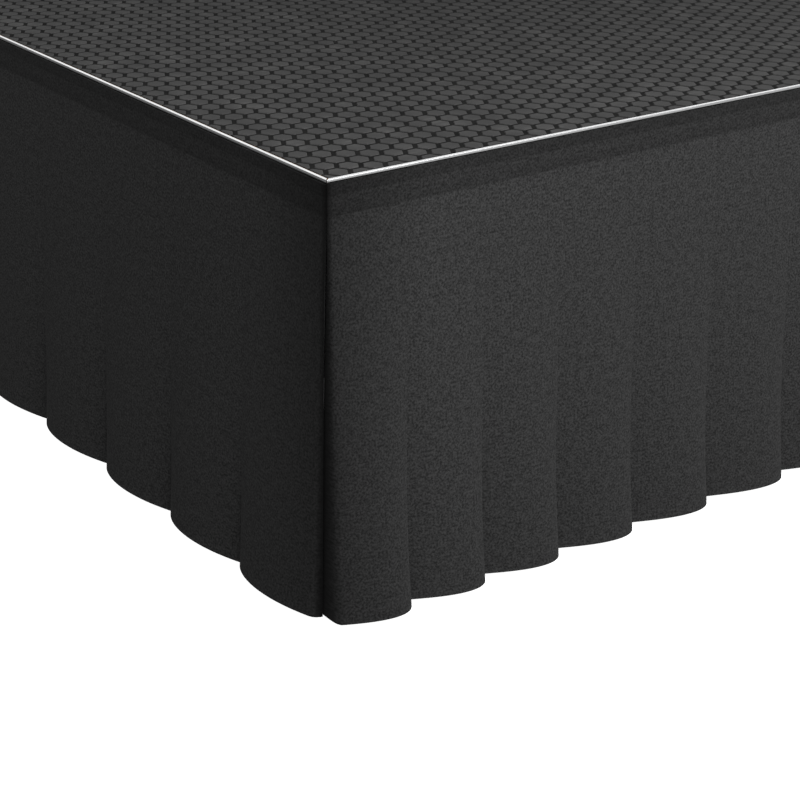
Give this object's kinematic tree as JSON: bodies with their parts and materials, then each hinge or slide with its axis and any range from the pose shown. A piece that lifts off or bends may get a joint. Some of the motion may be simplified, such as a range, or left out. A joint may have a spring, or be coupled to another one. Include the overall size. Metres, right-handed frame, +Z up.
{
  "type": "stage riser platform",
  "caption": "Low stage riser platform: hexagon-grip plywood deck in an aluminium frame on clamped plug-in legs with levelling feet, closed by black skirts.",
  "frame": {"origin": "on the floor, under the middle of the deck", "axes": "+X along the platform's long side, +Y from the front to the back, +Z up"},
  "size_m": [2.042, 1.03, 0.2],
  "materials": {
    "film_faced_ply": "matt grey hexagon-pressed film on plywood",
    "rail_aluminium": "satin mill finish",
    "cast_aluminium": "blasted casting",
    "leg_aluminium": "satin anodised",
    "zinc_steel": "zinc plated",
    "black_plastic": "moulded, fine grain",
    "black_rubber": "matt",
    "skirt_cloth": "matt black felted polyester",
    "hook_tape": "black hook tape"
  },
  "bodies": {
    "platform": {"deck_board": "film_faced_ply", "cross_joist_left": "rail_aluminium", "cross_joist_middle": "rail_aluminium", "cross_joist_right": "rail_aluminium", "rail_front": "rail_aluminium", "hook_tape_front": "hook_tape", "skirt_front": "skirt_cloth", "socket_bolt_front_left_in_front_rail": "zinc_steel", "socket_bolt_front_right_in_front_rail": "zinc_steel", "rail_right": "rail_aluminium", "hook_tape_right": "hook_tape", "skirt_right": "skirt_cloth", "socket_bolt_front_right_in_right_rail": "zinc_steel", "socket_bolt_back_right_in_right_rail": "zinc_steel", "rail_back": "rail_aluminium", "hook_tape_back": "hook_tape", "skirt_back": "skirt_cloth", "socket_bolt_back_right_in_back_rail": "zinc_steel", "socket_bolt_back_left_in_back_rail": "zinc_steel", "rail_left": "rail_aluminium", "hook_tape_left": "hook_tape", "skirt_left": "skirt_cloth", "socket_bolt_back_left_in_left_rail": "zinc_steel", "socket_bolt_front_left_in_left_rail": "zinc_steel", "corner_socket_front_left": "cast_aluminium", "corner_socket_front_right": "cast_aluminium", "corner_socket_back_right": "cast_aluminium", "corner_socket_back_left": "cast_aluminium"},
    "leg_front_left": {"leg_front_left": "leg_aluminium", "leg_plug_front_left": "black_plastic", "lock_nut_front_left": "zinc_steel"},
    "foot_pad_front_left": {"foot_pad_front_left": "black_rubber"},
    "foot_spindle_front_left": {"foot_spindle_front_left": "zinc_steel"},
    "clamp_shoe_front_left": {"clamp_shoe_front_left": "zinc_steel"},
    "clamp_screw_front_left": {"clamp_screw_front_left": "zinc_steel", "clamp_knob_front_left": "black_plastic"},
    "leg_front_right": {"leg_front_right": "leg_aluminium", "leg_plug_front_right": "black_plastic", "lock_nut_front_right": "zinc_steel"},
    "foot_pad_front_right": {"foot_pad_front_right": "black_rubber"},
    "foot_spindle_front_right": {"foot_spindle_front_right": "zinc_steel"},
    "clamp_shoe_front_right": {"clamp_shoe_front_right": "zinc_steel"},
    "clamp_screw_front_right": {"clamp_screw_front_right": "zinc_steel", "clamp_knob_front_right": "black_plastic"},
    "leg_back_right": {"leg_back_right": "leg_aluminium", "leg_plug_back_right": "black_plastic", "lock_nut_back_right": "zinc_steel"},
    "foot_pad_back_right": {"foot_pad_back_right": "black_rubber"},
    "foot_spindle_back_right": {"foot_spindle_back_right": "zinc_steel"},
    "clamp_shoe_back_right": {"clamp_shoe_back_right": "zinc_steel"},
    "clamp_screw_back_right": {"clamp_screw_back_right": "zinc_steel", "clamp_knob_back_right": "black_plastic"},
    "leg_back_left": {"leg_back_left": "leg_aluminium", "leg_plug_back_left": "black_plastic", "lock_nut_back_left": "zinc_steel"},
    "foot_pad_back_left": {"foot_pad_back_left": "black_rubber"},
    "foot_spindle_back_left": {"foot_spindle_back_left": "zinc_steel"},
    "clamp_shoe_back_left": {"clamp_shoe_back_left": "zinc_steel"},
    "clamp_screw_back_left": {"clamp_screw_back_left": "zinc_steel", "clamp_knob_back_left": "black_plastic"}
  },
  "joints": [
    {"name": "leg_slide_front_left", "type": "slide", "parent": "platform", "child": "leg_front_left", "axis": [0, 0, 1], "range_m": [-0.06, 0]},
    {"name": "foot_level_front_left", "type": "slide", "parent": "leg_front_left", "child": "foot_pad_front_left", "axis": [0, 0, 1], "range_m": [-0.03, 0]},
    {"name": "spindle_turn_front_left", "type": "hinge", "parent": "foot_pad_front_left", "child": "foot_spindle_front_left", "pos_m": [-0.9375, -0.4375, 0.02], "axis": [0, 0, 1], "range_deg": [-5400, 0]},
    {"name": "shoe_slide_front_left", "type": "slide", "parent": "platform", "child": "clamp_shoe_front_left", "axis": [1, 0, 0], "range_m": [0, 0.0035]},
    {"name": "clamp_turn_front_left", "type": "hinge", "parent": "clamp_shoe_front_left", "child": "clamp_screw_front_left", "pos_m": [-0.8975, -0.4375, 0.14965], "axis": [1, 0, 0], "range_deg": [0, 720]},
    {"name": "leg_slide_front_right", "type": "slide", "parent": "platform", "child": "leg_front_right", "axis": [0, 0, 1], "range_m": [-0.06, 0]},
    {"name": "foot_level_front_right", "type": "slide", "parent": "leg_front_right", "child": "foot_pad_front_right", "axis": [0, 0, 1], "range_m": [-0.03, 0]},
    {"name": "spindle_turn_front_right", "type": "hinge", "parent": "foot_pad_front_right", "child": "foot_spindle_front_right", "pos_m": [0.9375, -0.4375, 0.02], "axis": [0, 0, 1], "range_deg": [-5400, 0]},
    {"name": "shoe_slide_front_right", "type": "slide", "parent": "platform", "child": "clamp_shoe_front_right", "axis": [-1, 0, 0], "range_m": [0, 0.0035]},
    {"name": "clamp_turn_front_right", "type": "hinge", "parent": "clamp_shoe_front_right", "child": "clamp_screw_front_right", "pos_m": [0.8975, -0.4375, 0.14965], "axis": [-1, 0, 0], "range_deg": [0, 720]},
    {"name": "leg_slide_back_right", "type": "slide", "parent": "platform", "child": "leg_back_right", "axis": [0, 0, 1], "range_m": [-0.06, 0]},
    {"name": "foot_level_back_right", "type": "slide", "parent": "leg_back_right", "child": "foot_pad_back_right", "axis": [0, 0, 1], "range_m": [-0.03, 0]},
    {"name": "spindle_turn_back_right", "type": "hinge", "parent": "foot_pad_back_right", "child": "foot_spindle_back_right", "pos_m": [0.9375, 0.4375, 0.02], "axis": [0, 0, 1], "range_deg": [-5400, 0]},
    {"name": "shoe_slide_back_right", "type": "slide", "parent": "platform", "child": "clamp_shoe_back_right", "axis": [-1, 0, 0], "range_m": [0, 0.0035]},
    {"name": "clamp_turn_back_right", "type": "hinge", "parent": "clamp_shoe_back_right", "child": "clamp_screw_back_right", "pos_m": [0.8975, 0.4375, 0.14965], "axis": [-1, 0, 0], "range_deg": [0, 720]},
    {"name": "leg_slide_back_left", "type": "slide", "parent": "platform", "child": "leg_back_left", "axis": [0, 0, 1], "range_m": [-0.06, 0]},
    {"name": "foot_level_back_left", "type": "slide", "parent": "leg_back_left", "child": "foot_pad_back_left", "axis": [0, 0, 1], "range_m": [-0.03, 0]},
    {"name": "spindle_turn_back_left", "type": "hinge", "parent": "foot_pad_back_left", "child": "foot_spindle_back_left", "pos_m": [-0.9375, 0.4375, 0.02], "axis": [0, 0, 1], "range_deg": [-5400, 0]},
    {"name": "shoe_slide_back_left", "type": "slide", "parent": "platform", "child": "clamp_shoe_back_left", "axis": [1, 0, 0], "range_m": [0, 0.0035]},
    {"name": "clamp_turn_back_left", "type": "hinge", "parent": "clamp_shoe_back_left", "child": "clamp_screw_back_left", "pos_m": [-0.8975, 0.4375, 0.14965], "axis": [1, 0, 0], "range_deg": [0, 720]}
  ],
  "couplings": [
    {"joint": "spindle_turn_front_left", "follows": "foot_level_front_left", "rad_per_m": 3141.6},
    {"joint": "clamp_turn_front_left", "follows": "shoe_slide_front_left", "rad_per_m": 3590.4},
    {"joint": "spindle_turn_front_right", "follows": "foot_level_front_right", "rad_per_m": 3141.6},
    {"joint": "clamp_turn_front_right", "follows": "shoe_slide_front_right", "rad_per_m": 3590.4},
    {"joint": "spindle_turn_back_right", "follows": "foot_level_back_right", "rad_per_m": 3141.6},
    {"joint": "clamp_turn_back_right", "follows": "shoe_slide_back_right", "rad_per_m": 3590.4},
    {"joint": "spindle_turn_back_left", "follows": "foot_level_back_left", "rad_per_m": 3141.6},
    {"joint": "clamp_turn_back_left", "follows": "shoe_slide_back_left", "rad_per_m": 3590.4}
  ]
}
